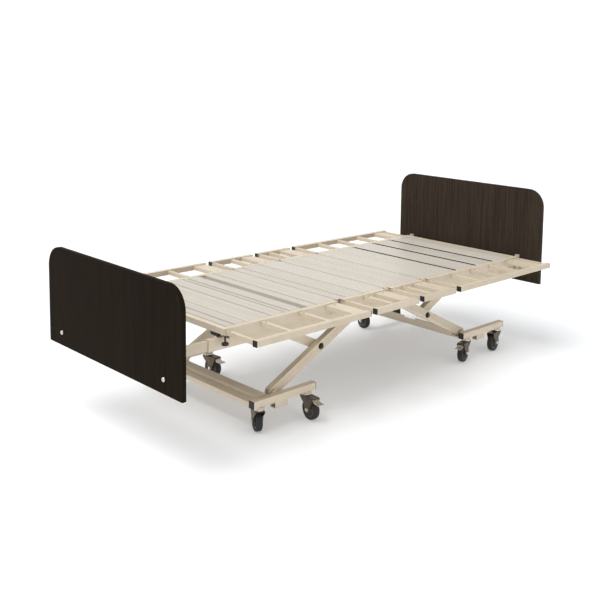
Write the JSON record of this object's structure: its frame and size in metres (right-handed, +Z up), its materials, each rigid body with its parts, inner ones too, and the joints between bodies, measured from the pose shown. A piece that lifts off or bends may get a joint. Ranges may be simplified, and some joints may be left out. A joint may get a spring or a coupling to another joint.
{
  "type": "adjustable hospital bed",
  "caption": "Electric hospital bed frame with hinged deck sections, pull-out side extensions, lift legs on caster bases and rounded head and foot boards.",
  "frame": {"origin": "on the floor, under the middle of the bed", "axes": "+X along the bed towards the headboard, +Y towards the patient's right side, +Z up"},
  "size_m": [2.4, 1.219, 0.885],
  "materials": {
    "frame_paint": "cream powder coat",
    "slat_paint": "off-white powder coat",
    "laminate": "dark walnut laminate, satin",
    "plated_steel": "zinc plated",
    "zinc_plate": "yellow zinc plated",
    "drive_housing": "grey, satin",
    "black_plastic": "moulded",
    "tyre_rubber": "matt"
  },
  "bodies": {
    "main_frame": {"main_frame": "frame_paint", "seat_slats": "slat_paint", "headboard": "laminate", "headboard_brackets": "frame_paint", "foot_lift_drive": "drive_housing", "head_lift_drive": "drive_housing", "back_drive": "drive_housing", "knee_drive": "drive_housing"},
    "back_section": {"back_frame": "frame_paint", "back_slats": "slat_paint"},
    "thigh_section": {"thigh_frame": "frame_paint", "thigh_slats": "slat_paint"},
    "foot_section": {"foot_frame": "frame_paint", "foot_slats": "slat_paint"},
    "footboard": {"footboard": "laminate", "footboard_arms": "frame_paint", "footboard_bolts": "plated_steel"},
    "foot_links": {"foot_links": "frame_paint"},
    "foot_legs": {"foot_legs": "frame_paint", "foot_leg_pins": "plated_steel"},
    "foot_base": {"foot_base": "frame_paint"},
    "head_links": {"head_links": "frame_paint"},
    "head_legs": {"head_legs": "frame_paint", "head_leg_pins": "plated_steel"},
    "head_base": {"head_base": "frame_paint"},
    "foot_lift_rod": {"foot_lift_rod": "plated_steel"},
    "head_lift_rod": {"head_lift_rod": "plated_steel"},
    "back_drive_rod": {"back_drive_rod": "plated_steel"},
    "knee_drive_rod": {"knee_drive_rod": "plated_steel"},
    "lock_knob": {"lock_knob": "black_plastic"},
    "foot_extension_left": {"foot_extension_left": "frame_paint"},
    "foot_extension_right": {"foot_extension_right": "frame_paint"},
    "thigh_extension_left": {"thigh_extension_left": "frame_paint"},
    "thigh_extension_right": {"thigh_extension_right": "frame_paint"},
    "seat_extension_left": {"seat_extension_left": "frame_paint"},
    "seat_extension_right": {"seat_extension_right": "frame_paint"},
    "back_extension_left": {"back_extension_left": "frame_paint"},
    "back_extension_right": {"back_extension_right": "frame_paint"},
    "fork_foot_base_1_left": {"fork_foot_base_1_left": "zinc_plate"},
    "wheel_foot_base_1_left": {"wheel_foot_base_1_left": "tyre_rubber"},
    "pedal_foot_base_1_left": {"pedal_foot_base_1_left": "zinc_plate"},
    "fork_foot_base_2_left": {"fork_foot_base_2_left": "zinc_plate"},
    "wheel_foot_base_2_left": {"wheel_foot_base_2_left": "tyre_rubber"},
    "pedal_foot_base_2_left": {"pedal_foot_base_2_left": "zinc_plate"},
    "fork_foot_base_1_right": {"fork_foot_base_1_right": "zinc_plate"},
    "wheel_foot_base_1_right": {"wheel_foot_base_1_right": "tyre_rubber"},
    "pedal_foot_base_1_right": {"pedal_foot_base_1_right": "zinc_plate"},
    "fork_foot_base_2_right": {"fork_foot_base_2_right": "zinc_plate"},
    "wheel_foot_base_2_right": {"wheel_foot_base_2_right": "tyre_rubber"},
    "pedal_foot_base_2_right": {"pedal_foot_base_2_right": "zinc_plate"},
    "fork_head_base_1_left": {"fork_head_base_1_left": "zinc_plate"},
    "wheel_head_base_1_left": {"wheel_head_base_1_left": "tyre_rubber"},
    "pedal_head_base_1_left": {"pedal_head_base_1_left": "zinc_plate"},
    "fork_head_base_2_left": {"fork_head_base_2_left": "zinc_plate"},
    "wheel_head_base_2_left": {"wheel_head_base_2_left": "tyre_rubber"},
    "fork_head_base_1_right": {"fork_head_base_1_right": "zinc_plate"},
    "wheel_head_base_1_right": {"wheel_head_base_1_right": "tyre_rubber"},
    "pedal_head_base_1_right": {"pedal_head_base_1_right": "zinc_plate"},
    "fork_head_base_2_right": {"fork_head_base_2_right": "zinc_plate"},
    "wheel_head_base_2_right": {"wheel_head_base_2_right": "tyre_rubber"}
  },
  "joints": [
    {"name": "back_hinge", "type": "hinge", "parent": "main_frame", "child": "back_section", "pos_m": [0.3265, 0, 0.505], "axis": [0, -1, 0], "range_deg": [0, 65]},
    {"name": "knee_hinge", "type": "hinge", "parent": "main_frame", "child": "thigh_section", "pos_m": [0.0545, 0, 0.505], "axis": [0, 1, 0], "range_deg": [0, 30]},
    {"name": "foot_section_hinge", "type": "hinge", "parent": "thigh_section", "child": "foot_section", "pos_m": [-0.261, 0, 0.462], "axis": [0, 1, 0], "range_deg": [-44.5, 0]},
    {"name": "foot_extension_left_slide", "type": "slide", "parent": "foot_section", "child": "foot_extension_left", "axis": [0, 1, 0], "range_m": [0, 0.1524]},
    {"name": "foot_extension_right_slide", "type": "slide", "parent": "foot_section", "child": "foot_extension_right", "axis": [0, -1, 0], "range_m": [0, 0.1524]},
    {"name": "thigh_extension_left_slide", "type": "slide", "parent": "thigh_section", "child": "thigh_extension_left", "axis": [0, 1, 0], "range_m": [0, 0.1524]},
    {"name": "thigh_extension_right_slide", "type": "slide", "parent": "thigh_section", "child": "thigh_extension_right", "axis": [0, -1, 0], "range_m": [0, 0.1524]},
    {"name": "seat_extension_left_slide", "type": "slide", "parent": "main_frame", "child": "seat_extension_left", "axis": [0, 1, 0], "range_m": [0, 0.1524]},
    {"name": "seat_extension_right_slide", "type": "slide", "parent": "main_frame", "child": "seat_extension_right", "axis": [0, -1, 0], "range_m": [0, 0.1524]},
    {"name": "back_extension_left_slide", "type": "slide", "parent": "back_section", "child": "back_extension_left", "axis": [0, 1, 0], "range_m": [0, 0.1524]},
    {"name": "back_extension_right_slide", "type": "slide", "parent": "back_section", "child": "back_extension_right", "axis": [0, -1, 0], "range_m": [0, 0.1524]},
    {"name": "footboard_slide", "type": "slide", "parent": "main_frame", "child": "footboard", "axis": [1, 0, 0], "range_m": [0, 0.203]},
    {"name": "lock_knob_turn", "type": "hinge", "parent": "foot_section", "child": "lock_knob", "pos_m": [-0.9013, -0.3923, 0.46], "axis": [0, 0, 1], "continuous": true},
    {"name": "bed_lift", "type": "hinge", "parent": "foot_links", "child": "main_frame", "pos_m": [-0.598, 0, 0.438], "axis": [0, -1, 0], "range_deg": [-16, 21]},
    {"name": "foot_leg_pivot", "type": "hinge", "parent": "foot_legs", "child": "foot_links", "pos_m": [-0.31511, 0, 0.29386], "axis": [0, -1, 0], "range_deg": [-42, 32]},
    {"name": "foot_base_pivot", "type": "hinge", "parent": "foot_base", "child": "foot_legs", "pos_m": [-0.598, 0, 0.14972], "axis": [0, -1, 0], "range_deg": [-16, 21]},
    {"name": "head_link_pivot", "type": "hinge", "parent": "main_frame", "child": "head_links", "pos_m": [0.716, 0, 0.438], "axis": [0, -1, 0], "range_deg": [-16, 21]},
    {"name": "head_leg_pivot", "type": "hinge", "parent": "head_links", "child": "head_legs", "pos_m": [0.43311, 0, 0.29386], "axis": [0, -1, 0], "range_deg": [-42, 32]},
    {"name": "head_base_pivot", "type": "hinge", "parent": "head_legs", "child": "head_base", "pos_m": [0.716, 0, 0.14972], "axis": [0, -1, 0], "range_deg": [-16, 21]},
    {"name": "foot_lift_rod_slide", "type": "slide", "parent": "main_frame", "child": "foot_lift_rod", "axis": [-1, 0, 0], "range_m": [-0.0285, 0.035]},
    {"name": "head_lift_rod_slide", "type": "slide", "parent": "main_frame", "child": "head_lift_rod", "axis": [1, 0, 0], "range_m": [-0.0285, 0.035]},
    {"name": "back_drive_rod_slide", "type": "slide", "parent": "main_frame", "child": "back_drive_rod", "axis": [1, 0, 0], "range_m": [0, 0.141]},
    {"name": "knee_drive_rod_slide", "type": "slide", "parent": "main_frame", "child": "knee_drive_rod", "axis": [-1, 0, 0], "range_m": [0, 0.054]},
    {"name": "swivel_foot_base_1_left", "type": "hinge", "parent": "foot_base", "child": "fork_foot_base_1_left", "pos_m": [-0.698, -0.362, 0.11], "axis": [0, 0, 1], "continuous": true},
    {"name": "roll_foot_base_1_left", "type": "hinge", "parent": "fork_foot_base_1_left", "child": "wheel_foot_base_1_left", "pos_m": [-0.68405, -0.33209, 0.048], "axis": [-0.9063, 0.4226, 0], "continuous": true},
    {"name": "brake_foot_base_1_left", "type": "hinge", "parent": "fork_foot_base_1_left", "child": "pedal_foot_base_1_left", "pos_m": [-0.6718, -0.30581, 0.095], "axis": [-0.9063, 0.4226, 0], "range_deg": [0, 10]},
    {"name": "swivel_foot_base_2_left", "type": "hinge", "parent": "foot_base", "child": "fork_foot_base_2_left", "pos_m": [-0.426, -0.362, 0.11], "axis": [0, 0, 1], "continuous": true},
    {"name": "roll_foot_base_2_left", "type": "hinge", "parent": "fork_foot_base_2_left", "child": "wheel_foot_base_2_left", "pos_m": [-0.42888, -0.39487, 0.048], "axis": [0.9962, -0.0872, 0], "continuous": true},
    {"name": "brake_foot_base_2_left", "type": "hinge", "parent": "fork_foot_base_2_left", "child": "pedal_foot_base_2_left", "pos_m": [-0.4314, -0.42376, 0.095], "axis": [0.9962, -0.0872, 0], "range_deg": [0, 10]},
    {"name": "swivel_foot_base_1_right", "type": "hinge", "parent": "foot_base", "child": "fork_foot_base_1_right", "pos_m": [-0.698, 0.362, 0.11], "axis": [0, 0, 1], "continuous": true},
    {"name": "roll_foot_base_1_right", "type": "hinge", "parent": "fork_foot_base_1_right", "child": "wheel_foot_base_1_right", "pos_m": [-0.70929, 0.39301, 0.048], "axis": [-0.9397, -0.342, 0], "continuous": true},
    {"name": "brake_foot_base_1_right", "type": "hinge", "parent": "fork_foot_base_1_right", "child": "pedal_foot_base_1_right", "pos_m": [-0.7192, 0.42026, 0.095], "axis": [-0.9397, -0.342, 0], "range_deg": [0, 10]},
    {"name": "swivel_foot_base_2_right", "type": "hinge", "parent": "foot_base", "child": "fork_foot_base_2_right", "pos_m": [-0.426, 0.362, 0.11], "axis": [0, 0, 1], "continuous": true},
    {"name": "roll_foot_base_2_right", "type": "hinge", "parent": "fork_foot_base_2_right", "child": "wheel_foot_base_2_right", "pos_m": [-0.42312, 0.32913, 0.048], "axis": [0.9962, 0.0872, 0], "continuous": true},
    {"name": "brake_foot_base_2_right", "type": "hinge", "parent": "fork_foot_base_2_right", "child": "pedal_foot_base_2_right", "pos_m": [-0.4206, 0.30024, 0.095], "axis": [0.9962, 0.0872, 0], "range_deg": [0, 10]},
    {"name": "swivel_head_base_1_left", "type": "hinge", "parent": "head_base", "child": "fork_head_base_1_left", "pos_m": [0.725, -0.362, 0.11], "axis": [0, 0, 1], "continuous": true},
    {"name": "roll_head_base_1_left", "type": "hinge", "parent": "fork_head_base_1_left", "child": "wheel_head_base_1_left", "pos_m": [0.69312, -0.37054, 0.048], "axis": [0.2588, -0.9659, 0], "continuous": true},
    {"name": "brake_head_base_1_left", "type": "hinge", "parent": "fork_head_base_1_left", "child": "pedal_head_base_1_left", "pos_m": [0.66511, -0.37805, 0.095], "axis": [0.2588, -0.9659, 0], "range_deg": [0, 10]},
    {"name": "swivel_head_base_2_left", "type": "hinge", "parent": "head_base", "child": "fork_head_base_2_left", "pos_m": [0.997, -0.362, 0.11], "axis": [0, 0, 1], "continuous": true},
    {"name": "roll_head_base_2_left", "type": "hinge", "parent": "fork_head_base_2_left", "child": "wheel_head_base_2_left", "pos_m": [0.9645, -0.36773, 0.048], "axis": [0.1736, -0.9848, 0], "continuous": true},
    {"name": "swivel_head_base_1_right", "type": "hinge", "parent": "head_base", "child": "fork_head_base_1_right", "pos_m": [0.725, 0.362, 0.11], "axis": [0, 0, 1], "continuous": true},
    {"name": "roll_head_base_1_right", "type": "hinge", "parent": "fork_head_base_1_right", "child": "wheel_head_base_1_right", "pos_m": [0.73073, 0.3945, 0.048], "axis": [-0.9848, 0.1736, 0], "continuous": true},
    {"name": "brake_head_base_1_right", "type": "hinge", "parent": "fork_head_base_1_right", "child": "pedal_head_base_1_right", "pos_m": [0.73577, 0.42306, 0.095], "axis": [-0.9848, 0.1736, 0], "range_deg": [0, 10]},
    {"name": "swivel_head_base_2_right", "type": "hinge", "parent": "head_base", "child": "fork_head_base_2_right", "pos_m": [0.997, 0.362, 0.11], "axis": [0, 0, 1], "continuous": true},
    {"name": "roll_head_base_2_right", "type": "hinge", "parent": "fork_head_base_2_right", "child": "wheel_head_base_2_right", "pos_m": [1.0135, 0.39058, 0.048], "axis": [-0.866, 0.5, 0], "continuous": true}
  ],
  "couplings": [
    {"joint": "foot_section_hinge", "follows": "knee_hinge", "ratio": -1.475},
    {"joint": "foot_leg_pivot", "follows": "bed_lift", "ratio": -2},
    {"joint": "foot_base_pivot", "follows": "bed_lift", "ratio": 1},
    {"joint": "head_link_pivot", "follows": "bed_lift", "ratio": 1},
    {"joint": "head_leg_pivot", "follows": "bed_lift", "ratio": -2},
    {"joint": "head_base_pivot", "follows": "bed_lift", "ratio": 1},
    {"joint": "foot_lift_rod_slide", "follows": "bed_lift", "m_per_rad": 0.093451},
    {"joint": "head_lift_rod_slide", "follows": "bed_lift", "m_per_rad": 0.093451},
    {"joint": "back_drive_rod_slide", "follows": "back_hinge", "m_per_rad": 0.12354},
    {"joint": "knee_drive_rod_slide", "follows": "knee_hinge", "m_per_rad": 0.10235}
  ]
}
